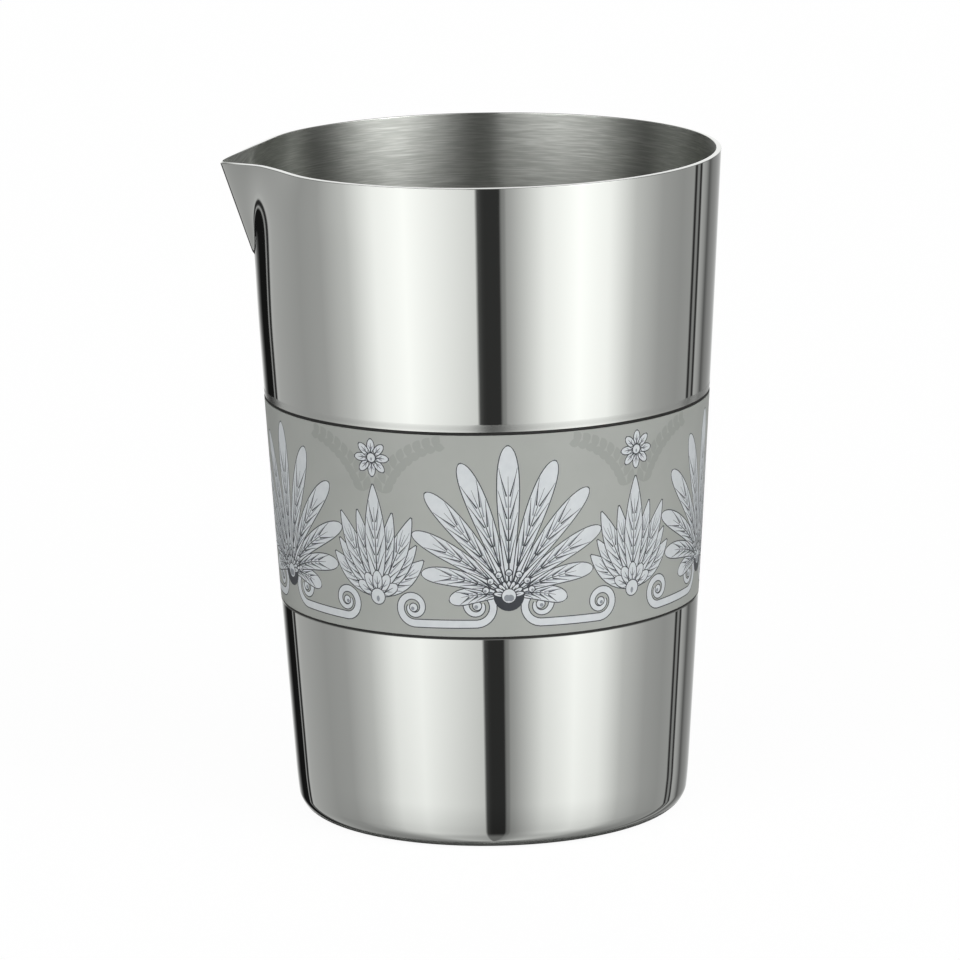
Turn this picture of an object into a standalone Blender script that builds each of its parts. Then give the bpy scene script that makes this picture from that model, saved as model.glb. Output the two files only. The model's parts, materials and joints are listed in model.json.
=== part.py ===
"""Stainless steel mixing glass: a double-walled bar vessel with a pressed pouring beak.

Metres, +Z up. The vessel stands on z = 0 with its axis on Z, and the beak points along -X.
An outer cup and an inner cup nest at the rim, a pan closes the foot, and a printed band lies
flush in a groove round the middle between two black sealing beads.
"""
import math

import bpy

MM = 0.001
MERGE_DISTANCE = 0.00002

# Overall form, in millimetres
HEIGHT = 130.0
MOUTH_RADIUS = 46.0
FOOT_RADIUS = 38.1
WALL_BULGE = 0.27
FOOT_CORNER = 4.2

# Sheet metal and the joints between the pieces
SHEET = 0.4
CLEARANCE = 0.3
RIM_WIDTH = 2 * SHEET + CLEARANCE
LIP_DEPTH = 0.8
EXTRA_SPREAD_AT_FOOT = 2.2
LINER_FLOOR = 6.0
LINER_CORNER = 8.0
FOOT_RING_INNER = 31.0
BASE_SHEET = 0.5
BASE_FLANGE = 3.0
BASE_EDGE = 0.35

# Printed band, its groove and the bead along each edge
UPPER_SEAL_HEIGHT = 82.8
LOWER_SEAL_HEIGHT = 42.75
SEAL_WIDTH = 0.55
SEAL_SET_BACK = 0.03
BAND_SHEET = 0.4
BAND_SEAM_ANGLE = math.radians(90.0)
GROOVE_DEPTH = BAND_SHEET + CLEARANCE
SHOULDER_ROLL = 0.25
SHOULDER_HEIGHT = 1.6

# Pouring beak: a sharp keel between two flat flanks, with the rim pinched in beside them
BEAK_FOOT = 110.8
BEAK_TIP_RADIUS = 51.3
BEAK_TIP_DROP = 0.9
BEAK_DROP_ANGLE = math.radians(6.3)
BEAK_FLANK_ANGLE = math.radians(58.5)
BEAK_BLEND = 1.1
BEAK_REACH = math.radians(60.0)
PINCH_DEPTH = 1.25
PINCH_ANGLE = math.radians(23.5)
PINCH_SPREAD = math.radians(11.0)

# How finely the turned walls are divided
COLUMNS = 64
COLUMN_CROWDING = 0.55
BEAK_ROWS = 8
WALL_ROWS = 4
SHOULDER_STEPS = 3
CORNER_STEPS = 5
LIP_STEPS = 6
SHARP_ANGLE = math.radians(35.0)


def clear_scene():
    for item in list(bpy.data.objects):
        bpy.data.objects.remove(item, do_unlink=True)


def steel_or_print(name, hex_colour, roughness, metallic):
    """A plain Principled material from an sRGB colour."""
    channels = [int(hex_colour[i:i + 2], 16) / 255 for i in (1, 3, 5)]
    linear = [c / 12.92 if c <= 0.04045 else ((c + 0.055) / 1.055) ** 2.4 for c in channels]
    material = bpy.data.materials.new(name)
    material.use_nodes = True
    shader = material.node_tree.nodes["Principled BSDF"]
    shader.inputs["Base Color"].default_value = (*linear, 1.0)
    shader.inputs["Roughness"].default_value = roughness
    shader.inputs["Metallic"].default_value = metallic
    return material


def wall_radius(z):
    """Outer radius of the polished wall, a cone with a slight belly."""
    t = z / HEIGHT
    return FOOT_RADIUS + (MOUTH_RADIUS - FOOT_RADIUS) * t + 4 * WALL_BULGE * t * (1 - t)


def shell_inside(z):
    return wall_radius(z) - SHEET


def liner_inside(z):
    """Inner radius of the liner, which draws away from the outer wall towards the foot."""
    return wall_radius(z) - RIM_WIDTH - EXTRA_SPREAD_AT_FOOT * (1 - z / HEIGHT)


def liner_outside(z):
    return liner_inside(z) + SHEET


def spread(start, end, count):
    """Evenly spaced values from start to end, both included."""
    return [start + (end - start) * i / (count - 1) for i in range(count)]


def corner_arc(wall, floor, radius):
    """Points of a round corner from the floor up to the wall that it meets."""
    centre_z = floor + radius
    lean = math.atan(wall(centre_z + 0.5) - wall(centre_z - 0.5))
    centre_x = wall(centre_z - radius * math.sin(lean)) - radius * math.cos(lean)
    angles = spread(-math.pi / 2, -lean, CORNER_STEPS + 1)
    return [(centre_x + radius * math.cos(a), centre_z + radius * math.sin(a)) for a in angles]


def turned(name, profile, closed, sweep=2 * math.pi):
    """Turn a profile of (radius, height) points in millimetres round the Z axis."""
    points = [(r * MM, 0.0, z * MM) for r, z in profile]
    edges = [(i, i + 1) for i in range(len(points) - 1)]
    if closed:
        edges.append((len(points) - 1, 0))
    mesh = bpy.data.meshes.new(name)
    mesh.from_pydata(points, edges, [])
    piece = bpy.data.objects.new(name, mesh)
    glass_parts.objects.link(piece)
    screw = piece.modifiers.new("turn", "SCREW")
    screw.angle = sweep
    screw.steps = COLUMNS
    screw.render_steps = COLUMNS
    screw.use_merge_vertices = True
    screw.merge_threshold = MERGE_DISTANCE
    return piece


def beak_shift(angle, z):
    """How far the press moves the wall out and down, at an angle from the beak's keel.

    Seen from above, each flank is a straight line from the keel that runs into the round wall.
    """
    rise = (z - BEAK_FOOT) / (HEIGHT - BEAK_FOOT)
    away = abs(angle)
    if rise <= 0 or away > BEAK_REACH:
        return 0.0, 0.0
    radius = wall_radius(z)
    start = wall_radius(BEAK_FOOT)
    keel = start + (BEAK_TIP_RADIUS - start) * rise
    deepest = math.pi / 2 - BEAK_FLANK_ANGLE
    along = min(away, deepest)
    flank = keel - radius * (math.sin(along) / math.tan(BEAK_FLANK_ANGLE) + math.cos(along))
    blended = (flank + math.hypot(flank, BEAK_BLEND * rise)) / 2
    fade = math.cos(math.pi / 2 * (away - along) / (BEAK_REACH - deepest)) ** 2
    pinch = PINCH_DEPTH * rise ** 2 * math.exp(-((away - PINCH_ANGLE) / PINCH_SPREAD) ** 2)
    drop = BEAK_TIP_DROP * rise * math.exp(-(away / BEAK_DROP_ANGLE) ** 2)
    return blended * fade - pinch, drop


def press_beak(piece):
    """Crowd the turned wall's columns towards the beak, then draw the beak out of it."""
    evaluated = piece.evaluated_get(bpy.context.evaluated_depsgraph_get())
    mesh = bpy.data.meshes.new_from_object(evaluated)
    for vertex in mesh.vertices:
        x, y, z = vertex.co / MM
        radius = math.hypot(x, y)
        even_angle = math.atan2(-y, -x)
        angle = even_angle - COLUMN_CROWDING * math.sin(even_angle)
        out, down = beak_shift(angle, z)
        radius += out
        vertex.co = (-radius * math.cos(angle) * MM, -radius * math.sin(angle) * MM, (z - down) * MM)
    plain = piece.data
    piece.modifiers.clear()
    piece.data = mesh
    bpy.data.meshes.remove(plain)
    mesh.name = piece.name


def finish(piece, material):
    """Give a piece its material and smooth shading with sharp edges kept."""
    piece.data.materials.append(material)
    piece.data.shade_smooth()
    if piece.data.polygons:
        piece.data.set_sharp_from_angle(angle=SHARP_ANGLE)


def outer_shell():
    """Polished cup: beak, rolled shoulder, groove for the band, round foot and a flat foot ring."""
    top = HEIGHT - LIP_DEPTH - CLEARANCE
    joint = SEAL_WIDTH / 2 + CLEARANCE
    groove_top = UPPER_SEAL_HEIGHT + joint
    groove_low = LOWER_SEAL_HEIGHT - joint
    groove_middle = (groove_top + groove_low) / 2
    shoulder_top = groove_top + SHOULDER_HEIGHT
    beak_rows = spread(top, BEAK_FOOT, BEAK_ROWS)
    above_band = (BEAK_FOOT + shoulder_top) / 2
    below_band = spread(groove_low, 2 * FOOT_CORNER, WALL_ROWS)

    def at(z, inset=0.0):
        return (wall_radius(z) - inset, z)

    outside = [at(z) for z in beak_rows] + [at(above_band)]
    for turn in spread(0, math.pi / 2, SHOULDER_STEPS + 1):
        height = groove_top + SHOULDER_HEIGHT * (1 - math.sin(turn))
        outside.append(at(height, SHOULDER_ROLL * (1 - math.cos(turn))))
    outside += [at(z, GROOVE_DEPTH) for z in (groove_top, groove_middle, groove_low)]
    outside += [at(z) for z in below_band]
    outside += reversed(corner_arc(wall_radius, 0.0, FOOT_CORNER))
    outside.append((FOOT_RING_INNER, 0.0))

    step_low = groove_low - SHEET
    step_top = groove_top + SHEET
    inside = [(FOOT_RING_INNER, SHEET)]
    inside += corner_arc(shell_inside, SHEET, FOOT_CORNER - SHEET)
    inside += [at(z, SHEET) for z in reversed(below_band[1:])]
    inside.append(at(step_low, SHEET))
    inside += [at(z, GROOVE_DEPTH + SHEET) for z in (step_low, groove_middle, step_top)]
    inside.append(at(step_top, SHOULDER_ROLL + SHEET))
    inside += [at(z, SHEET) for z in (shoulder_top, above_band)]
    inside += [at(z, SHEET) for z in reversed(beak_rows)]

    piece = turned("outer_shell", outside + inside, closed=True)
    press_beak(piece)
    finish(piece, steel_or_print("mirror_polished_steel", "#C8C8C5", 0.06, 1.0))


def inner_liner():
    """Brushed cup, with the rounded lip that covers the top edge of the outer cup."""
    beak_rows = spread(HEIGHT - LIP_DEPTH, BEAK_FOOT, BEAK_ROWS)
    body_rows = spread(BEAK_FOOT, LINER_FLOOR + 2 * LINER_CORNER, WALL_ROWS)[1:]
    lip = RIM_WIDTH / 2

    profile = [(0.0, LINER_FLOOR)]
    profile += corner_arc(liner_inside, LINER_FLOOR, LINER_CORNER)
    profile += [(liner_inside(z), z) for z in reversed(body_rows)]
    profile += [(liner_inside(z), z) for z in reversed(beak_rows[1:])]
    for turn in spread(math.pi, 0, LIP_STEPS + 1):
        profile.append((MOUTH_RADIUS - lip + lip * math.cos(turn), HEIGHT - lip + lip * math.sin(turn)))
    profile.append((wall_radius(HEIGHT - LIP_DEPTH), HEIGHT - LIP_DEPTH))
    profile += [(liner_outside(z), z) for z in beak_rows]
    profile += [(liner_outside(z), z) for z in body_rows]
    profile += reversed(corner_arc(liner_outside, LINER_FLOOR - SHEET, LINER_CORNER + SHEET))
    profile.append((0.0, LINER_FLOOR - SHEET))

    piece = turned("inner_liner", profile, closed=False)
    press_beak(piece)
    finish(piece, steel_or_print("brushed_steel", "#B9B9B5", 0.35, 1.0))


def base_plate():
    """Shallow pan that closes the foot, flush with the ring of the outer cup."""
    radius = FOOT_RING_INNER - CLEARANCE
    inside = radius - BASE_SHEET
    profile = [(0.0, BASE_SHEET), (inside, BASE_SHEET), (inside, BASE_FLANGE), (radius, BASE_FLANGE),
               (radius, BASE_EDGE), (radius - BASE_EDGE, 0.0), (0.0, 0.0)]
    piece = turned("base_plate", profile, closed=False)
    finish(piece, steel_or_print("satin_base_steel", "#ABABA7", 0.3, 1.0))


def printed_band():
    """Thin printed sleeve wrapped round the groove, its butt seam turned to the back."""
    edge = SEAL_WIDTH / 2 + CLEARANCE
    top = UPPER_SEAL_HEIGHT - edge
    low = LOWER_SEAL_HEIGHT + edge
    seam = CLEARANCE / wall_radius(top)
    profile = [(wall_radius(z), z) for z in (top, low)]
    piece = turned("printed_band", profile, closed=False, sweep=2 * math.pi - seam)
    piece.rotation_euler.z = BAND_SEAM_ANGLE
    sheet = piece.modifiers.new("sheet", "SOLIDIFY")
    sheet.thickness = BAND_SHEET * MM
    sheet.offset = -1.0
    finish(piece, steel_or_print("satin_print_film", "#AAADA8", 0.5, 0.0))


def edge_seal(name, height):
    """Black bead that fills the joint between the band's edge and the groove's shoulder."""
    half = SEAL_WIDTH / 2
    depth = BAND_SHEET - SEAL_SET_BACK
    shoulder = half / 2
    outside = wall_radius(height) - SEAL_SET_BACK
    profile = [(outside - shoulder, height + half), (outside, height + shoulder), (outside, height - shoulder),
               (outside - shoulder, height - half), (outside - depth, height - half),
               (outside - depth, height + half)]
    piece = turned(name, profile, closed=True)
    finish(piece, steel_or_print(name + "_sealant", "#1C1C1A", 0.55, 0.0))


clear_scene()
glass_parts = bpy.data.collections.new("stainless_steel_mixing_glass")
bpy.context.scene.collection.children.link(glass_parts)
outer_shell()
inner_liner()
base_plate()
printed_band()
edge_seal("upper_edge_seal", UPPER_SEAL_HEIGHT)
edge_seal("lower_edge_seal", LOWER_SEAL_HEIGHT)
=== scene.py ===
"""Looks of the stainless steel mixing glass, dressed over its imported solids. Metres, +Z up, beak along -X."""
import json
import math

import bmesh
import bpy
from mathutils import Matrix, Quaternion, Vector
from mathutils.geometry import delaunay_2d_cdt

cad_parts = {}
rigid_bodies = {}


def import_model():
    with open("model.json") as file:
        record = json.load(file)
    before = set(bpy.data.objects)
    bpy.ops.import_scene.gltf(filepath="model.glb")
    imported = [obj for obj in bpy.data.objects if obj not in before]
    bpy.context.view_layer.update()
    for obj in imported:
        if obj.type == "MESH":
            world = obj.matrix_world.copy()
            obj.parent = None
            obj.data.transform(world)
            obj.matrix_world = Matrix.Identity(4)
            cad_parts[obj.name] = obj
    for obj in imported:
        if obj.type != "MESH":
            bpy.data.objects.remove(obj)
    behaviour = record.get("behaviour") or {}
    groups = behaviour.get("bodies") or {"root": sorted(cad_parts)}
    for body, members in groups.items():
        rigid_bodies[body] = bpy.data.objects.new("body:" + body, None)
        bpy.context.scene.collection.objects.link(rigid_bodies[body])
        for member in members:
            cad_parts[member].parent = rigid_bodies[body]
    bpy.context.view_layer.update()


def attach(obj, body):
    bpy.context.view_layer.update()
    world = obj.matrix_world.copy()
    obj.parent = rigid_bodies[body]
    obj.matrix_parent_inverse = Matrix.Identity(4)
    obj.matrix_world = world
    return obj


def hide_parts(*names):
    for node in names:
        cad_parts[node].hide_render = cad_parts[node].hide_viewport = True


for item in list(bpy.data.objects):
    bpy.data.objects.remove(item, do_unlink=True)
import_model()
MM = 0.001

# Outer shell: the vessel seen from outside, pressed from one stainless sheet and mirror polished. A groove is
# rolled into it for the band, with a softly rounded shoulder above; the beak is pressed out of its top edge,
# and its foot turns in to a flat ring that meets the base plate.
HEIGHT = 130.0
MOUTH_RADIUS = 46.0
FOOT_RADIUS = 38.1
WALL_BULGE = 0.27
SHEET = 0.4
FOOT_CORNER = 4.2
FOOT_TURN = 0.34
FOOT_TURN_HEIGHT = 9.0
FOOT_ROWS_START = 11.7
FOOT_ROWS_END = 5.04
FOOT_RING_INNER = 30.75
UPPER_SEAL_HEIGHT = 82.6
LOWER_SEAL_HEIGHT = 42.55
SEAL_WIDTH = 0.5
GROOVE_DEPTH = 0.7
SHOULDER_ROLL = 0.06
SHOULDER_HEIGHT = 1.6
SHOULDER_EDGE = 0.12
RIM_WIDTH = 1.0
LIP_FALL = 0.09
LIP_OUTER_EDGE = 0.1
LIP_SEAM = 0.01
BEAK_FOOT = 110.8
BEAK_TIP_RADIUS = 50.95
BEAK_TIP_DROP = 0.92
BEAK_DROP_ANGLE = math.radians(16.0)
BEAK_DROP_SHARPNESS = 1.3
BEAK_FLANK_ANGLE = math.radians(58.5)
BEAK_REACH = math.radians(60.0)
KEEL_ROUND = 1.1
FOLD_ROUND = 0.1
FOLD_SOFTENING = 1.2
FOLD_SOFT_FROM = 0.12
FOLD_SOFT_TO = 0.64
DRAW_DEPTH = 0.42
DRAW_START = 95.0
DRAW_MIDDLE = 120.0
DRAW_ANGLE = math.radians(9.0)
DRAW_SPREAD = math.radians(18.0)
PINCH_START = 0.45
PINCH_NEAR = 1.25
PINCH_FAR = 0.7
PINCH_ANGLE = math.radians(23.5)
PINCH_SPREAD = math.radians(11.0)
LIP_TILT = 1.1
TIP_THINNING = 0.55
TIP_THIN_ANGLE = math.radians(8.0)
COLUMNS = 400
COLUMN_CROWDING = 0.72
BEAK_ROW_STEP = 0.6
WALL_ROW_STEP = 3.0
groove_top = UPPER_SEAL_HEIGHT + SEAL_WIDTH / 2
groove_low = LOWER_SEAL_HEIGHT - SEAL_WIDTH / 2
shoulder_top = groove_top + SHOULDER_HEIGHT
lip_under = HEIGHT - LIP_FALL - LIP_OUTER_EDGE
shell_top = lip_under - LIP_SEAM


def wall_radius(z):
    """Outer radius of the polished wall in mm: a cone with a slight belly, turning in near the foot."""
    t = z / HEIGHT
    turn_in = FOOT_TURN * max(0.0, 1 - z / FOOT_TURN_HEIGHT) ** 2
    return FOOT_RADIUS + (MOUTH_RADIUS - FOOT_RADIUS) * t + 4 * WALL_BULGE * t * (1 - t) - turn_in


def at(z, inset=0.0):
    """A profile point at a height, set in from the outer wall."""
    return (wall_radius(z) - inset, z)


def spread(start, end, step):
    """Evenly spaced values from start to end, no further apart than step."""
    count = max(1, math.ceil(abs(end - start) / step))
    return [start + (end - start) * i / count for i in range(count + 1)]


def corner_arc(wall, floor, radius):
    """Points of the round corner from a floor up to the wall that it meets."""
    centre_z = floor + radius
    lean = math.atan(wall(centre_z + 0.5) - wall(centre_z - 0.5))
    centre_x = wall(centre_z - radius * math.sin(lean)) - radius * math.cos(lean)
    turns = spread(-math.pi / 2, -lean, math.radians(5))
    return [(centre_x + radius * math.cos(a), centre_z + radius * math.sin(a)) for a in turns]


def turned(profile, closed, columns=COLUMNS):
    """A bmesh turned round Z from a profile of (radius, height) points in millimetres."""
    rows = profile + profile[:1] if closed else profile
    shape = bmesh.new()
    bmesh.ops.create_grid(shape, x_segments=columns, y_segments=len(rows) - 1, size=1.0)
    for vert in shape.verts:
        angle = math.pi * (1 + vert.co.x)
        radius, z = rows[round((1 + vert.co.y) / 2 * (len(rows) - 1))]
        vert.co = (radius * MM * math.cos(angle), radius * MM * math.sin(angle), z * MM)
    bmesh.ops.remove_doubles(shape, verts=shape.verts, dist=0.001 * MM)
    bmesh.ops.recalc_face_normals(shape, faces=shape.faces)
    return shape


def ease(value, start, end):
    """A smooth step from 0 at start to 1 at end."""
    t = min(1.0, max(0.0, (value - start) / (end - start)))
    return t * t * (3 - 2 * t)


def hump(angle, middle, width):
    """A bell curve that is 1 at its middle."""
    return math.exp(-((angle - middle) / width) ** 2)


def beak_shift(angle, z):
    """How far the press moves the wall out and down, tilts and thins it, at an angle from the keel."""
    away = abs(angle)
    if away > BEAK_REACH:
        return 0.0, 0.0, 0.0, 0.0
    rise = (z - BEAK_FOOT) / (HEIGHT - BEAK_FOOT)
    drawn = DRAW_DEPTH * (ease(z, DRAW_START, DRAW_MIDDLE) - ease(z, DRAW_MIDDLE, HEIGHT))
    drawn *= hump(away, DRAW_ANGLE, DRAW_SPREAD)
    if rise <= 0:
        return -drawn, 0.0, 0.0, 0.0
    radius = wall_radius(z)
    start = wall_radius(BEAK_FOOT)
    keel = start + (BEAK_TIP_RADIUS - start) * rise
    keel_out = keel - radius + drawn
    deepest = math.pi / 2 - BEAK_FLANK_ANGLE
    along = min(away, deepest)
    across = math.hypot(radius * math.sin(along), KEEL_ROUND) - KEEL_ROUND
    flank = keel - across / math.tan(BEAK_FLANK_ANGLE) - radius * math.cos(along) + drawn
    fold = FOLD_ROUND + FOLD_SOFTENING * ease(rise, FOLD_SOFT_FROM, FOLD_SOFT_TO)
    excess = (math.hypot(keel_out, fold) - keel_out) / 2
    flank_out = (flank + math.hypot(flank, fold)) / 2 - excess * max(0.0, flank / keel_out)
    fade = math.cos(math.pi / 2 * (away - along) / (BEAK_REACH - deepest)) ** 2
    pinch = (PINCH_NEAR if angle > 0 else PINCH_FAR) * hump(away, PINCH_ANGLE, PINCH_SPREAD)
    pinch *= max(0.0, (rise - PINCH_START) / (1 - PINCH_START)) ** 2
    drop = BEAK_TIP_DROP * rise * max(0.0, 1 - away / BEAK_DROP_ANGLE) ** BEAK_DROP_SHARPNESS
    tilt = LIP_TILT * flank_out * fade / (HEIGHT - BEAK_FOOT)
    thinning = TIP_THINNING * rise * hump(away, 0.0, TIP_THIN_ANGLE)
    return flank_out * fade - pinch - drawn, drop, tilt, thinning


def press_beak(shape):
    """Crowd the turned wall's columns towards the beak, then draw the beak out of it."""
    for vert in shape.verts:
        x, y, z = vert.co / MM
        even_angle = math.atan2(-y, -x)
        angle = even_angle - COLUMN_CROWDING * math.sin(even_angle)
        out, down, tilt, thinning = beak_shift(angle, z)
        inset = wall_radius(z) - math.hypot(x, y)
        radius = (wall_radius(z) + out - inset * (1 - thinning)) * MM
        z -= down + tilt * (RIM_WIDTH - inset)
        vert.co = (-radius * math.cos(angle), -radius * math.sin(angle), z * MM)


def piece_from(shape, name, materials, node_name, sharp=math.radians(40)):
    """Make a bmesh into a smooth-shaded piece that stands for a solid of the frame."""
    mesh = bpy.data.meshes.new(name)
    shape.to_mesh(mesh)
    shape.free()
    for material in materials:
        mesh.materials.append(material)
    mesh.shade_smooth()
    mesh.set_sharp_from_angle(angle=sharp)
    piece = bpy.data.objects.new(name, mesh)
    bpy.context.scene.collection.objects.link(piece)
    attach(piece, "root")
    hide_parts(node_name)


def linear(hex_colour):
    """An sRGB hex colour as linear RGBA."""
    channels = [int(hex_colour[i:i + 2], 16) / 255 for i in (1, 3, 5)]
    return (*[c / 12.92 if c <= 0.04045 else ((c + 0.055) / 1.055) ** 2.4 for c in channels], 1.0)


def node(tree, kind, inputs=None, **settings):
    """Add a node with its settings, and link or set its inputs."""
    made = tree.nodes.new(kind)
    for name, value in settings.items():
        setattr(made, name, value)
    for socket, value in (inputs or {}).items():
        if isinstance(value, bpy.types.NodeSocket):
            tree.links.new(value, made.inputs[socket])
        else:
            made.inputs[socket].default_value = value
    return made


def new_material(name):
    """A new material, its node tree and its surface shader."""
    material = bpy.data.materials.new(name)
    material.use_nodes = True
    tree = material.node_tree
    return material, tree, tree.nodes["Principled BSDF"]


# Mirror-polished stainless steel: buffing leaves a bright, very slightly wavy mirror with faint
# cloudy patches, and a satin strip on the rolled shoulder that the buffing wheel can't reach.
WAVE_SIZE = 7.0
WAVE_DEPTH = 0.006
CLOUD_SIZE = 28.0
SATIN_ROUGHNESS = 0.2
SATIN_BLEND = 0.1
mirror_steel, tree, shader = new_material("mirror_polished_stainless_steel")
coords = node(tree, "ShaderNodeTexCoord")
axes = node(tree, "ShaderNodeSeparateXYZ", {0: coords.outputs["Object"]})
cloud = node(tree, "ShaderNodeTexNoise",
             {"Vector": coords.outputs["Object"], "Scale": 1 / (CLOUD_SIZE * MM), "Detail": 4.0})
polish = node(tree, "ShaderNodeMapRange", {0: cloud.outputs[0], 1: 0.35, 2: 0.7, 3: 0.015, 4: 0.04})
satin_above = node(tree, "ShaderNodeMapRange",
                   {0: axes.outputs["Z"], 1: (shoulder_top - SATIN_BLEND) * MM,
                    2: (shoulder_top + SATIN_BLEND) * MM, 3: SATIN_ROUGHNESS, 4: 0.0})
satin_below = node(tree, "ShaderNodeMapRange",
                   {0: axes.outputs["Z"], 1: (groove_top - 2 * SATIN_BLEND) * MM, 2: groove_top * MM})
satin = node(tree, "ShaderNodeMath", {0: satin_above.outputs[0], 1: satin_below.outputs[0]},
             operation="MULTIPLY")
gloss = node(tree, "ShaderNodeMath", {0: polish.outputs[0], 1: satin.outputs[0]}, operation="ADD")
wave = node(tree, "ShaderNodeTexNoise",
            {"Vector": coords.outputs["Object"], "Scale": 1 / (WAVE_SIZE * MM), "Detail": 1.0})
relief = node(tree, "ShaderNodeBump",
              {"Height": wave.outputs[0], "Strength": 0.5, "Distance": WAVE_DEPTH * MM})
tree.links.new(gloss.outputs[0], shader.inputs["Roughness"])
tree.links.new(relief.outputs[0], shader.inputs["Normal"])
shader.inputs["Base Color"].default_value = linear("#C8CAC6")
shader.inputs["Metallic"].default_value = 1.0


def shell_inside(z):
    """Inner radius of the shell's sheet."""
    return wall_radius(z) - SHEET


beak_rows = spread(shell_top, BEAK_FOOT, BEAK_ROW_STEP)
upper_rows = spread(BEAK_FOOT, shoulder_top, WALL_ROW_STEP)[1:-1]
lower_rows = spread(groove_low - SHOULDER_EDGE, FOOT_ROWS_START, WALL_ROW_STEP)
lower_rows += spread(FOOT_ROWS_START, FOOT_ROWS_END, BEAK_ROW_STEP)[1:]
outside = [at(z) for z in beak_rows + upper_rows]
outside += [at(z, SHOULDER_ROLL * ease(z, shoulder_top, groove_top + SHOULDER_EDGE))
            for z in spread(shoulder_top, groove_top + SHOULDER_EDGE, SHOULDER_EDGE)]
outside += [at(groove_top, SHOULDER_ROLL + SHOULDER_EDGE), at(groove_top, GROOVE_DEPTH)]
outside += [at(groove_low, GROOVE_DEPTH), at(groove_low, SHOULDER_EDGE)]
outside += [at(z) for z in lower_rows]
outside += reversed(corner_arc(wall_radius, 0.0, FOOT_CORNER))
outside.append((FOOT_RING_INNER, 0.0))
inside = [(FOOT_RING_INNER, SHEET)] + corner_arc(shell_inside, SHEET, FOOT_CORNER - SHEET)
inside += [at(groove_low - SHEET, SHEET), at(groove_low - SHEET, GROOVE_DEPTH + SHEET)]
inside += [at(groove_top + SHEET, GROOVE_DEPTH + SHEET), at(groove_top + SHEET, SHOULDER_ROLL + SHEET)]
inside += [at(shoulder_top, SHEET)] + [at(z, SHEET) for z in beak_rows[::-2] + [shell_top]]
shell = turned(outside + inside, closed=True)
press_beak(shell)
piece_from(shell, "polished_shell", [mirror_steel], "outer_shell")

# Inner liner: the cup that holds the drink, pressed from one stainless sheet and brushed round and round.
# Its top edge is turned out over the shell as a slim polished lip that falls slightly outwards.
LINER_SPREAD = 2.2
LINER_FLOOR = 6.0
LINER_CORNER = 8.0
LINER_ROWS_START = 18.0
LIP_INNER_EDGE = 0.15

# Brushed stainless steel: a belt run round the inside leaves fine lines along the brushing,
# so highlights smear up and down and the streaks show as thin light and dark dashes.
BRUSH_PITCH = 0.24
BRUSH_LENGTH = 5.0
BRUSH_DEPTH = 0.027
STREAK_PITCH = 0.9
STREAK_LENGTH = 18.0
STREAK_SHARE = 0.2
brushed_steel, tree, shader = new_material("brushed_stainless_steel")
coords = node(tree, "ShaderNodeTexCoord")
axes = node(tree, "ShaderNodeSeparateXYZ", {0: coords.outputs["Object"]})
level = node(tree, "ShaderNodeCombineXYZ", {"X": axes.outputs["X"], "Y": axes.outputs["Y"]})
from_axis = node(tree, "ShaderNodeVectorMath", {0: level.outputs[0]}, operation="LENGTH")
across_brush = node(tree, "ShaderNodeMath", {0: axes.outputs["Z"], 1: from_axis.outputs["Value"]},
                    operation="ADD")
brush_lines = []
for pitch, length in ((BRUSH_PITCH, BRUSH_LENGTH), (STREAK_PITCH, STREAK_LENGTH)):
    fine = node(tree, "ShaderNodeMath", {0: across_brush.outputs[0], 1: length / pitch}, operation="MULTIPLY")
    place = node(tree, "ShaderNodeCombineXYZ",
                 {"X": axes.outputs["X"], "Y": axes.outputs["Y"], "Z": fine.outputs[0]})
    brush_lines.append(node(tree, "ShaderNodeTexNoise",
                            {"Vector": place.outputs[0], "Scale": 1 / (length * MM), "Detail": 2.0}))
lines = node(tree, "ShaderNodeMix",
             {0: STREAK_SHARE, 2: brush_lines[0].outputs[0], 3: brush_lines[1].outputs[0]})
streaks = node(tree, "ShaderNodeMapRange", {0: lines.outputs[0], 1: 0.42, 2: 0.74})
rough = node(tree, "ShaderNodeMapRange", {0: streaks.outputs[0], 3: 0.38, 4: 0.32})
tone = node(tree, "ShaderNodeMix", {0: streaks.outputs[0], 6: linear("#AEB0AB"), 7: linear("#CCCEC9")},
            data_type="RGBA")
relief = node(tree, "ShaderNodeBump",
              {"Height": lines.outputs[0], "Strength": 0.5, "Distance": BRUSH_DEPTH * MM})
around = node(tree, "ShaderNodeTangent", direction_type="RADIAL", axis="Z")
tree.links.new(tone.outputs[2], shader.inputs["Base Color"])
tree.links.new(rough.outputs[0], shader.inputs["Roughness"])
tree.links.new(relief.outputs[0], shader.inputs["Normal"])
tree.links.new(around.outputs[0], shader.inputs["Tangent"])
shader.inputs["Metallic"].default_value = 1.0
shader.inputs["Anisotropic"].default_value = 0.95
shader.inputs["Anisotropic Rotation"].default_value = 0.25


def liner_inside(z):
    """Inner radius of the liner, which draws away from the shell towards the foot."""
    return wall_radius(z) - RIM_WIDTH - LINER_SPREAD * (1 - z / HEIGHT)


def liner_outside(z):
    """Outer radius of the liner's sheet."""
    return liner_inside(z) + SHEET


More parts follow.
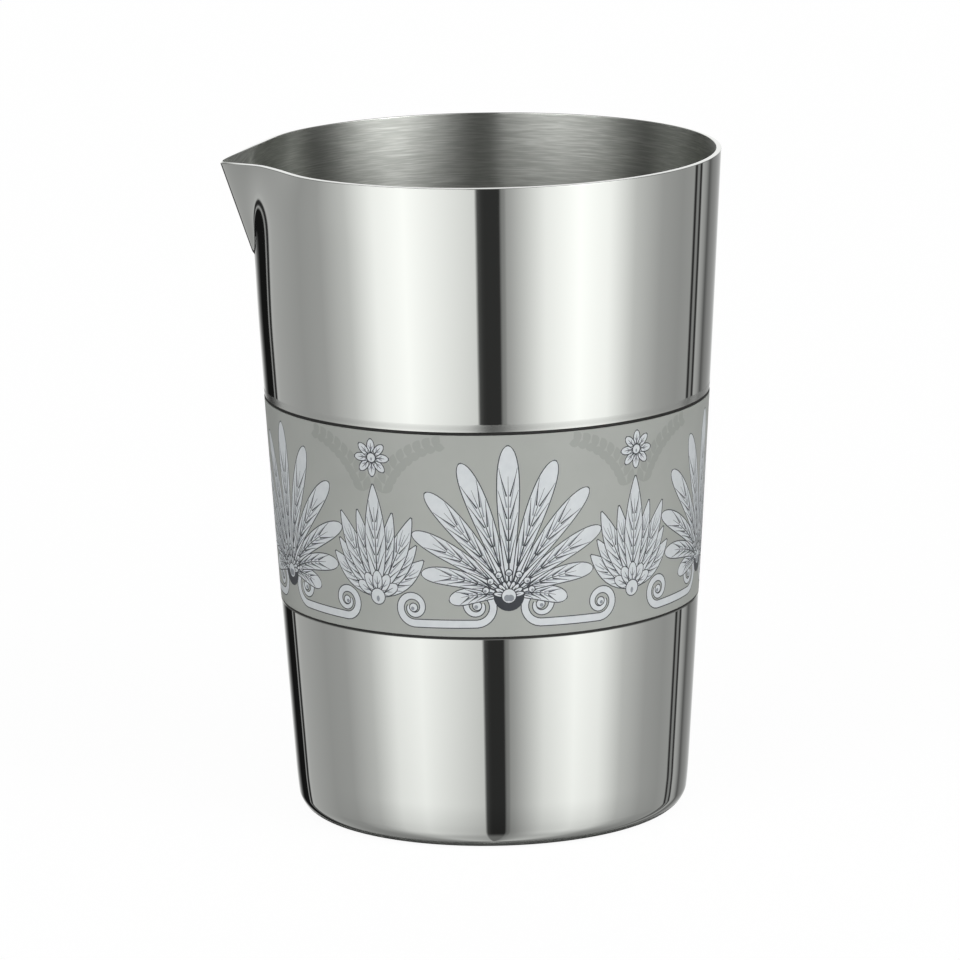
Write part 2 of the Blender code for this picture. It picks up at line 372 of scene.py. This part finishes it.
lip_low = HEIGHT - LIP_INNER_EDGE
rim_rows = spread(BEAK_FOOT, lip_low, BEAK_ROW_STEP)
body_rows = spread(LINER_ROWS_START, BEAK_FOOT, WALL_ROW_STEP)
profile = [(0.0, LINER_FLOOR)] + corner_arc(liner_inside, LINER_FLOOR, LINER_CORNER)
profile += [(liner_inside(z), z) for z in body_rows[:-1] + rim_rows]
for edge, radius, z, turns in (
        (LIP_INNER_EDGE, liner_inside(lip_low) + LIP_INNER_EDGE, lip_low, (math.pi, math.pi / 2)),
        (LIP_OUTER_EDGE, wall_radius(lip_under) - LIP_OUTER_EDGE, lip_under, (math.pi / 2, 0))):
    profile += [(radius + edge * math.cos(a), z + edge * math.sin(a))
                for a in spread(*turns, math.radians(15))]
profile += [(liner_outside(z), z) for z in [lip_under] + rim_rows[-2::-1] + body_rows[-2::-1]]
profile += reversed(corner_arc(liner_outside, LINER_FLOOR - SHEET, LINER_CORNER + SHEET))
profile.append((0.0, LINER_FLOOR - SHEET))
cup = turned(profile, closed=False)
for face in cup.faces:
    face.material_index = int(face.calc_center_median().z > lip_under * MM)
press_beak(cup)
piece_from(cup, "liner_cup", [brushed_steel, mirror_steel], "inner_liner")

# Base plate: a shallow pan with an upturned flange, welded into the foot ring and ground flat with it.
# The grinding leaves rings round the centre.
BASE_RADIUS = 30.7
BASE_SHEET = 0.5
BASE_FLANGE = 3.0
BASE_EDGE = 0.35
RING_PITCH = 0.6
RING_DEPTH = 0.01
satin_steel, tree, shader = new_material("ground_stainless_steel")
coords = node(tree, "ShaderNodeTexCoord")
rings = node(tree, "ShaderNodeTexWave",
             {"Vector": coords.outputs["Object"], "Scale": 0.1 / (RING_PITCH * MM),
              "Distortion": 1.5, "Detail": 3.0}, wave_type="RINGS", rings_direction="Z")
rough = node(tree, "ShaderNodeMapRange", {0: rings.outputs["Fac"], 3: 0.24, 4: 0.36})
relief = node(tree, "ShaderNodeBump",
              {"Height": rings.outputs["Fac"], "Strength": 0.3, "Distance": RING_DEPTH * MM})
tree.links.new(rough.outputs[0], shader.inputs["Roughness"])
tree.links.new(relief.outputs[0], shader.inputs["Normal"])
shader.inputs["Base Color"].default_value = linear("#B4B6B2")
shader.inputs["Metallic"].default_value = 1.0
pan_inside = BASE_RADIUS - BASE_SHEET
profile = [(0.0, BASE_SHEET), (pan_inside, BASE_SHEET), (pan_inside, BASE_FLANGE), (BASE_RADIUS, BASE_FLANGE)]
profile += [(BASE_RADIUS - BASE_EDGE + BASE_EDGE * math.cos(a), BASE_EDGE + BASE_EDGE * math.sin(a))
            for a in spread(0, -math.pi / 2, math.radians(15))]
profile.append((0.0, 0.0))
piece_from(turned(profile, closed=False, columns=180), "base_pan", [satin_steel], "base_plate")

# Edge seals: black sealing beads pressed into the joint along each edge of the band, finished flush.
BEAD_DEPTH = 0.4
BEAD_SET_BACK = 0.04
BEAD_GRAIN = 0.8
bead_black, tree, shader = new_material("black_sealant")
coords = node(tree, "ShaderNodeTexCoord")
grain = node(tree, "ShaderNodeTexNoise",
             {"Vector": coords.outputs["Object"], "Scale": 1 / (BEAD_GRAIN * MM), "Detail": 2.0})
tone = node(tree, "ShaderNodeMix", {0: grain.outputs[0], 6: linear("#1C1C1A"), 7: linear("#292927")},
            data_type="RGBA")
tree.links.new(tone.outputs[2], shader.inputs["Base Color"])
shader.inputs["Roughness"].default_value = 0.55
shader.inputs["Specular IOR Level"].default_value = 0.3
for name, node_name, height in (("upper_bead", "upper_edge_seal", UPPER_SEAL_HEIGHT),
                                ("lower_bead", "lower_edge_seal", LOWER_SEAL_HEIGHT)):
    half = SEAL_WIDTH / 2
    profile = [at(height + half, BEAD_DEPTH), at(height + half, BEAD_SET_BACK + half / 2)]
    profile += [at(height + half * math.cos(a), BEAD_SET_BACK + half / 2 * (1 - math.sin(a)))
                for a in spread(0, math.pi, math.radians(30))[1:-1]]
    profile += [at(height - half, BEAD_SET_BACK + half / 2), at(height - half, BEAD_DEPTH)]
    piece_from(turned(profile, closed=True, columns=240), name, [bead_black], node_name)

# Printed band: a satin film wrapped round the groove, its ends butted at the back, screen printed with a
# frieze of palmettes and lotus flowers on an S-shaped stem. The printed face is cut along every outline,
# so that each patch is one ink, and the pattern is drawn once for half a repeat and mirrored round the band.
BAND_SHEET = 0.4
SEAM_ANGLE = math.pi / 2
SEAM_GAP = 0.03
REPEATS = 5
FOLD_STEP = 1.9
INK_EDGE = 0.2
FILM, GHOST, WHITE, GREY, CHARCOAL = range(5)
band_top = UPPER_SEAL_HEIGHT - SEAL_WIDTH / 2
band_low = LOWER_SEAL_HEIGHT + SEAL_WIDTH / 2
band_middle = (band_top + band_low) / 2
band_half = (band_top - band_low) / 2
band_radius = wall_radius(band_middle)
half_repeat = (2 * math.pi * band_radius - SEAM_GAP) / REPEATS / 2
palmette_coil = (6.2, -13.6)
lotus_coil = (half_repeat - 7.6, -14.3)
prints = []


def stroke(ink, path, width, grow=0.0, steps=14):
    """Print a shape that follows path(u) with half-width width(u), for u from 0 to 1."""
    left, right = [], []
    for i in range(steps + 1):
        u = math.sin(math.pi / 2 * i / steps)
        ahead = (path(min(1.0, u + 0.01)) - path(max(0.0, u - 0.01))).normalized()
        here = path(u) + ahead * (grow * (2 * u - 1) if i in (0, steps) else 0.0)
        side = Vector((-ahead.y, ahead.x)) * (width(u) + grow)
        left.append(here + side)
        right.append(here - side)
    prints.append((ink, right + left[::-1]))


def curl(start, heading, length, bend):
    """A path from start that sets off at a heading (0 is up) and turns evenly by bend on the way."""
    def path(u):
        turn = heading + bend * u / 2
        reach = length * u * (1 - (bend * u) ** 2 / 24)
        return start + Vector((math.sin(turn), math.cos(turn))) * reach
    return path


def petal(start, heading, length, half_width, bend=0.0, roundness=0.6, hatches=0, steps=12):
    """A white petal with a charcoal edge and midrib, and engraved shading towards its root."""
    path = curl(start, heading, length, bend)

    def width(u):
        round_tip = 1.22 * u * math.sqrt(max(0.0, 1 - u ** 5))
        sharp_tip = max(0.0, math.sin(math.pi * u ** 0.95))
        return half_width * (roundness * round_tip + (1 - roundness) * sharp_tip) + 0.03

    stroke(CHARCOAL, path, width, INK_EDGE, steps)
    stroke(WHITE, path, width, 0.0, steps)
    stroke(CHARCOAL, lambda u: path(0.08 + 0.72 * u), lambda u: 0.17 * (1 - u) + 0.03, 0.0, 5)
    for i in range(2 * hatches):
        side = (-1, 1)[i % 2]
        root = 0.22 + 0.52 * (i // 2) / hatches
        dark = i // 2 % 2 == 0

        def hatch(u):
            along = root + 0.19 * u
            ahead = (path(along + 0.01) - path(along - 0.01)).normalized()
            across = Vector((-ahead.y, ahead.x)) * side * width(along)
            return path(along) + across * (0.16 + (0.5 + 0.28 * dark) * u)

        stroke(CHARCOAL if dark else GREY, hatch, lambda u: 0.11 * (1 - u) + 0.035, 0.0, 2)


def disc(ink, centre, radius, steps=16):
    """Print a round spot."""
    turns = [2 * math.pi * i / steps for i in range(steps)]
    prints.append((ink, [centre + Vector((math.cos(a), math.sin(a))) * radius for a in turns]))


def berry(centre, radius):
    """A white berry with a charcoal edge and a grey shadow."""
    disc(CHARCOAL, centre, radius + INK_EDGE)
    disc(WHITE, centre, radius)
    disc(GREY, centre + Vector((0.25, -0.3)) * radius, 0.5 * radius, 10)


def stem(u):
    """The S-shaped stem: it unwinds from a coil under the palmette and winds up beside the lotus."""
    coil = Vector(palmette_coil if u < 0.5 else lotus_coil)
    radius = 3.6 if u < 0.5 else 3.1
    wound = max(0.0, abs(u - 0.5) - 0.1) / 0.4
    turn = -math.pi / 2 + math.copysign(2.6 * math.pi * wound, u - 0.5)
    reach = radius * (1 - 0.7 * wound)
    along = max(-0.1, min(0.1, u - 0.5)) / 0.2 + 0.5
    if 0 < along < 1:
        foot = -17.2 - 0.2 * along
        return Vector((palmette_coil[0] + (lotus_coil[0] - palmette_coil[0]) * along, foot))
    return coil + Vector((math.cos(turn), math.sin(turn))) * reach


palmette = Vector((0.0, -11.75))
lotus = Vector((half_repeat, -12.75))
rosette = Vector((half_repeat, 14.55))
for i in range(9):
    sprig = curl(Vector((half_repeat - 1.5, 6.0)), math.radians(-12), 19.0, math.radians(-70))
    for side in (-1, 1):
        heading = math.radians(-12 - 62 * i / 9 + side * 48)
        leaf = curl(sprig(0.1 + 0.9 * i / 9), heading, 3.4 - 0.15 * i, -side * math.radians(30))
        stroke(GHOST, leaf, lambda u: 0.85 * math.sin(math.pi * u) + 0.02, 0.0, 8)
for ink, grow in ((CHARCOAL, INK_EDGE), (WHITE, 0.0)):
    left, right = [], []
    for i in range(91):
        ahead = (stem(min(1.0, i / 90 + 0.004)) - stem(max(0.0, i / 90 - 0.004))).normalized()
        side = Vector((-ahead.y, ahead.x)) * (0.28 + 0.42 * math.sin(math.pi * i / 90) + grow)
        left.append(stem(i / 90) + side)
        right.append(stem(i / 90) - side)
    prints.append((ink, right + left[::-1]))
berry(Vector(palmette_coil), 0.8)
berry(Vector(lotus_coil), 0.75)
for i in (5, 4, 3, 2, 1):
    length = 28.2 - 0.66 * i * i
    petal(palmette, math.radians(15.5 * i), length, 2.55 - 0.13 * i, math.radians(7 * i), 0.8, 7, 16)
petal(palmette, 0.0, 29.4, 2.6, 0.0, 0.8, 7, 16)
for i in range(4):
    berry(palmette + Vector((math.sin(math.radians(25 * i)), math.cos(math.radians(25 * i)))) * 4.6, 0.55)
disc(CHARCOAL, palmette, 3.0, 24)
for i in range(-1, 5):
    petal(palmette, math.radians(20 * i), 2.9, 0.42, steps=7)
berry(palmette, 1.35)
for i in (4, 3, 2, 1):
    large = i % 2 == 0
    petal(lotus, math.radians(-15 * i), 17.5 + 2.0 * large - 0.43 * i * i, 1.6 + 0.4 * large,
          math.radians(4 * i), 0.15, 6)
petal(lotus, 0.0, 22.0, 2.3, 0.0, 0.15, 7)
for i in range(-2, 2):
    petal(lotus, math.radians(30 * i), 5.0, 1.2, 0.0, 0.6, 2, 9)
berry(lotus, 1.5)
for i in range(8):
    petal(rosette, math.radians(45 * i), 3.6, 0.85, 0.0, 0.6, 2, 8)
berry(rosette, 0.85)

flat_corners, cuts = [], []
for ink, outline in prints:
    first = len(flat_corners)
    cuts += [(first + i, first + (i + 1) % len(outline)) for i in range(len(outline))]
    flat_corners += outline
for s in spread(0, half_repeat, FOLD_STEP):
    cuts.append((len(flat_corners), len(flat_corners) + 1))
    flat_corners += [Vector((s, -band_half)), Vector((s, band_half))]
for t in (-band_half, band_half):
    cuts.append((len(flat_corners), len(flat_corners) + 1))
    flat_corners += [Vector((0, t)), Vector((half_repeat, t))]
flat_corners, _, flat_faces, _, _, _ = delaunay_2d_cdt(flat_corners, cuts, [], 0, 0.0005, False)


def covers(outline, point):
    """Whether a point lies inside a closed outline."""
    hit = False
    for a, b in zip(outline, outline[1:] + outline[:1]):
        if (a.y > point.y) != (b.y > point.y):
            hit ^= point.x < a.x + (point.y - a.y) * (b.x - a.x) / (b.y - a.y)
    return hit


patches = []
extents = [[bound(axis) for axis in zip(*outline) for bound in (min, max)] for ink, outline in prints]
for face in flat_faces:
    middle = sum((flat_corners[i] for i in face), Vector((0, 0))) / len(face)
    if 0 < middle.x < half_repeat and abs(middle.y) < band_half:
        patch_ink = FILM
        for (ink, outline), (left, right, low, high) in zip(prints, extents):
            if left < middle.x < right and low < middle.y < high and covers(outline, middle):
                patch_ink = ink
        patches.append((face, patch_ink))
film = bmesh.new()
for half in range(2 * REPEATS):
    corners = []
    for s, t in flat_corners:
        run = s if half % 2 else half_repeat - s
        turn = SEAM_ANGLE + (SEAM_GAP / 2 + half * half_repeat + run) / band_radius
        radius = wall_radius(band_middle + t) * MM
        z = (band_middle + t) * MM
        corners.append(film.verts.new((radius * math.cos(turn), radius * math.sin(turn), z)))
    for face, ink in patches:
        patch = film.faces.new([corners[i] for i in (face if half % 2 else reversed(face))])
        patch.material_index = ink
bmesh.ops.delete(film, geom=[vert for vert in film.verts if not vert.link_faces], context="VERTS")
bmesh.ops.remove_doubles(film, verts=film.verts, dist=0.002 * MM)
edge = [line for line in film.edges if line.is_boundary]
turned_in = bmesh.ops.extrude_edge_only(film, edges=edge)["geom"]
for vert in (item for item in turned_in if isinstance(item, bmesh.types.BMVert)):
    vert.co.xy *= 1 - BAND_SHEET * MM / vert.co.xy.length

# Satin film and screen inks: a warm grey satin ground with cool white, grey and charcoal inks,
# each very slightly uneven as a printed coat is.
inks = []
for name, dark, pale, grain_size, roughness in (("satin_film_warm_grey", "#A8ABA6", "#B2B5B0", 7.0, 0.42),
                                                ("tone_on_tone_screen_ink", "#9DA09B", "#A5A8A3", 7.0, 0.42),
                                                ("white_screen_ink", "#D1D6D9", "#E4E8EA", 1.6, 0.5),
                                                ("grey_screen_ink", "#878C92", "#9AA0A5", 1.6, 0.5),
                                                ("charcoal_screen_ink", "#2A2D32", "#3B3F45", 1.6, 0.45)):
    material, tree, shader = new_material(name)
    coords = node(tree, "ShaderNodeTexCoord")
    grain = node(tree, "ShaderNodeTexNoise",
                 {"Vector": coords.outputs["Object"], "Scale": 1 / (grain_size * MM), "Detail": 3.0})
    tone = node(tree, "ShaderNodeMix", {0: grain.outputs[0], 6: linear(dark), 7: linear(pale)},
                data_type="RGBA")
    tree.links.new(tone.outputs[2], shader.inputs["Base Color"])
    shader.inputs["Roughness"].default_value = roughness
    inks.append(material)
piece_from(film, "band_film", inks, "printed_band")

# Stage: a plain white floor that the camera sees as pure white with a faint shadow. The polished wall mirrors
# only the patch that the foot stands on, so that the studio's stripes run down to the foot; that patch is
# shaded by the foot and also painted grey for reflections, painted shade that darkens the mirrored contact
# line.
FLOOR_SIZE = 6.0
FLOOR_SINK = 0.0001
FLOOR_GLOW = 1.1
GLOW_SHARE = 0.85
MIRRORED_PATCH = (36.5, 37.4)
floor_white_painted_shade, tree, shader = new_material("white_floor_with_painted_reflected_shade")
path = node(tree, "ShaderNodeLightPath")
# Glossy rays see a grey floor colour instead of white: painted shade that darkens the reflected contact line at
# the foot.
tone = node(tree, "ShaderNodeMix",
            {0: path.outputs["Is Glossy Ray"], 6: linear("#F0F0F0"), 7: linear("#8C8C8C")}, data_type="RGBA")
tree.links.new(tone.outputs[2], shader.inputs["Base Color"])
shader.inputs["Roughness"].default_value = 0.9
glow = node(tree, "ShaderNodeEmission", {"Color": (1, 1, 1, 1), "Strength": FLOOR_GLOW})
share = node(tree, "ShaderNodeMath", {0: path.outputs["Is Camera Ray"], 1: GLOW_SHARE}, operation="MULTIPLY")
lit = node(tree, "ShaderNodeMixShader", {0: share.outputs[0], 1: shader.outputs[0], 2: glow.outputs[0]})
coords = node(tree, "ShaderNodeTexCoord")
distance = node(tree, "ShaderNodeVectorMath", {0: coords.outputs["Object"]}, operation="LENGTH")
beyond = node(tree, "ShaderNodeMapRange",
              {0: distance.outputs["Value"], 1: MIRRORED_PATCH[0] * MM, 2: MIRRORED_PATCH[1] * MM})
hidden = node(tree, "ShaderNodeMath", {0: beyond.outputs[0], 1: path.outputs["Is Glossy Ray"]},
              operation="MULTIPLY")
clear = node(tree, "ShaderNodeBsdfTransparent")
seen = node(tree, "ShaderNodeMixShader", {0: hidden.outputs[0], 1: lit.outputs[0], 2: clear.outputs[0]})
tree.links.new(seen.outputs[0], tree.nodes["Material Output"].inputs["Surface"])
floor_mesh = bpy.data.meshes.new("floor")
shape = bmesh.new()
bmesh.ops.create_grid(shape, x_segments=1, y_segments=1, size=FLOOR_SIZE / 2)
shape.to_mesh(floor_mesh)
shape.free()
floor_mesh.materials.append(floor_white_painted_shade)
floor = bpy.data.objects.new("floor", floor_mesh)
floor.location.z = -FLOOR_SINK
bpy.context.scene.collection.objects.link(floor)

# Studio: levels by compass angle from the lens. Low down, a dark gap at the lens, a softbox each side,
# grey walls beyond, a black flag far left and slim stands far right; higher up, the softboxes' hot
# middles; a backdrop behind.
CAMERA_AZIMUTH = math.radians(-5.0)
LEFT_STUDIO = ((0, 0.045), (1.5, 0.055), (3.2, 0.1), (3.8, 0.16), (4.9, 1.07), (40, 1.68), (56, 1.45),
               (72, 0.83), (90, 0.52), (107, 0.46), (134, 0.55), (138.3, 0.62), (139.3, 0.03),
               (141.8, 0.03), (142.6, 0.46), (143.1, 0.46), (143.9, 0.01), (154.5, 0.01), (158, 0.1),
               (162, 0.3), (166.5, 0.65), (171, 1.0), (180, 1.25))
RIGHT_STUDIO = ((0, 0.045), (7, 0.045), (8.1, 0.33), (9.7, 0.37), (10.3, 0.52), (13, 0.62), (30, 1.38),
                (48, 1.74), (64, 1.5), (80, 0.82), (98, 0.52), (114, 0.43), (124.6, 0.46), (126, 0.03),
                (127.3, 0.03), (128.8, 0.36), (130.4, 0.3), (131.4, 0.03), (133, 0.05), (134, 0.56),
                (139, 0.41), (143.8, 0.13), (149, 0.27), (156, 0.35), (163, 0.45), (168, 0.6),
                (180, 1.25))
UPPER_STUDIO = ((-180, 1.2), (-152, 0.1), (-134, 0.1), (-109, 0.35), (-90, 0.15), (-75, 0.6), (-58, 2.9),
                (-40, 4.5), (-9, 1.9), (-7.5, 0.08), (6, 0.08), (14, 1.0), (30, 3.8), (48, 7.0),
                (62, 4.2), (80, 0.6), (95, 0.15), (114, 0.4), (142, 0.15), (155, 0.12), (180, 1.2))
LOW_DIMMING = 0.38
TABLE_LEVEL = 0.2
TABLE_ECHO = 0.3
BACKDROP_LEVEL = 1.15
CEILING_LEVEL = 0.3
world = bpy.data.worlds.new("soft_studio")
bpy.context.scene.world = world
world.use_nodes = True
tree = world.node_tree
coords = node(tree, "ShaderNodeTexCoord")
facing = node(tree, "ShaderNodeVectorRotate",
              {"Vector": coords.outputs["Generated"], "Axis": (0, 0, 1), "Angle": -CAMERA_AZIMUTH},
              rotation_type="AXIS_ANGLE")
axes = node(tree, "ShaderNodeSeparateXYZ", {0: facing.outputs[0]})
towards = node(tree, "ShaderNodeMath", {0: axes.outputs["Y"], 1: -1.0}, operation="MULTIPLY")
compass = node(tree, "ShaderNodeMath", {0: axes.outputs["X"], 1: towards.outputs[0]}, operation="ARCTAN2")
aside = node(tree, "ShaderNodeMath", {0: compass.outputs[0]}, operation="ABSOLUTE")
rings = []
for stops, angle in ((LEFT_STUDIO, aside), (RIGHT_STUDIO, aside), (UPPER_STUDIO, compass)):
    first, last = stops[0][0], stops[-1][0]
    turn = node(tree, "ShaderNodeMapRange",
                {0: angle.outputs[0], 1: math.radians(first), 2: math.radians(last)})
    ring = node(tree, "ShaderNodeValToRGB", {0: turn.outputs[0]})
    for i, (place, value) in enumerate(stops):
        share = (place - first) / (last - first)
        stop = ring.color_ramp.elements[i] if i < 2 else ring.color_ramp.elements.new(share)
        stop.position = share
        stop.color = (value, value, value, 1.0)
    rings.append(ring.outputs[0])
left_ring, right_ring, upper_ring = rings
on_right = node(tree, "ShaderNodeMath", {0: compass.outputs[0], 1: 0.0}, operation="GREATER_THAN")
lower_ring = node(tree, "ShaderNodeMix", {0: on_right.outputs[0], 2: left_ring, 3: right_ring})
height = node(tree, "ShaderNodeMath", {0: axes.outputs["Z"]}, operation="ARCSINE")
zones = []
for low, high, start, end in ((-30, -15, 1.0, 0.0), (-2, 5, 0.0, 1.0), (-60, -35, 1.0, 0.0),
                              (-4, 4, 0.0, 1.0), (14, 38, 1.0, 0.0), (8, 32, 0.0, 1.0)):
    zones.append(node(tree, "ShaderNodeMapRange",
                      {0: height.outputs[0], 1: math.radians(low), 2: math.radians(high), 3: start, 4: end},
                      interpolation_type="SMOOTHSTEP").outputs[0])
low_down, upper, table_zone, over_horizon, under_ceiling, overhead = zones
in_front = node(tree, "ShaderNodeMapRange", {0: towards.outputs[0], 1: -0.7, 2: 0.4})
shade = node(tree, "ShaderNodeMath", {0: low_down, 1: in_front.outputs[0]}, operation="MULTIPLY")
dimming = node(tree, "ShaderNodeMath", {0: shade.outputs[0], 1: -LOW_DIMMING, 2: 1.0},
               operation="MULTIPLY_ADD")
level = node(tree, "ShaderNodeMath", {0: lower_ring.outputs[0], 1: dimming.outputs[0]}, operation="MULTIPLY")
table = node(tree, "ShaderNodeMath", {0: lower_ring.outputs[0], 1: TABLE_ECHO, 2: TABLE_LEVEL},
             operation="MULTIPLY_ADD")
behind = node(tree, "ShaderNodeMapRange", {0: aside.outputs[0], 1: math.radians(150), 2: math.radians(165)})
hung = node(tree, "ShaderNodeMath", {0: over_horizon, 1: under_ceiling}, operation="MULTIPLY")
backdrop = node(tree, "ShaderNodeMath", {0: behind.outputs[0], 1: hung.outputs[0]}, operation="MULTIPLY")
for mask, value in ((upper, upper_ring), (table_zone, table.outputs[0]), (overhead, CEILING_LEVEL),
                    (backdrop.outputs[0], BACKDROP_LEVEL)):
    level = node(tree, "ShaderNodeMix", {0: mask, 2: level.outputs[0], 3: value})
path = node(tree, "ShaderNodeLightPath")
seen = node(tree, "ShaderNodeMix", {0: path.outputs["Is Camera Ray"], 2: level.outputs[0], 3: 1.0})
tree.links.new(seen.outputs[0], tree.nodes["Background"].inputs["Color"])

# Camera: a long lens from in front, a little above and with the beak to the left, as in the photograph.
CAMERA_DISTANCE = 1.3
CAMERA_ELEVATION = math.radians(12.087)
CAMERA_ROLL = math.radians(-0.854)
LENS = 249.6
SHIFT = (-0.0086, -0.0024)
aim = Vector((0, 0, HEIGHT * MM / 2))
back = Vector((math.sin(CAMERA_AZIMUTH) * math.cos(CAMERA_ELEVATION),
               -math.cos(CAMERA_AZIMUTH) * math.cos(CAMERA_ELEVATION), math.sin(CAMERA_ELEVATION)))
camera_data = bpy.data.cameras.new("camera")
camera_data.lens = LENS
camera_data.shift_x, camera_data.shift_y = SHIFT
camera = bpy.data.objects.new("camera", camera_data)
camera.location = aim + back * CAMERA_DISTANCE
camera.rotation_mode = "QUATERNION"
camera.rotation_quaternion = (-back).to_track_quat("-Z", "Y") @ Quaternion((0, 0, 1), CAMERA_ROLL)
bpy.context.scene.collection.objects.link(camera)
bpy.context.scene.camera = camera
bpy.context.scene.view_settings.view_transform = "Standard"
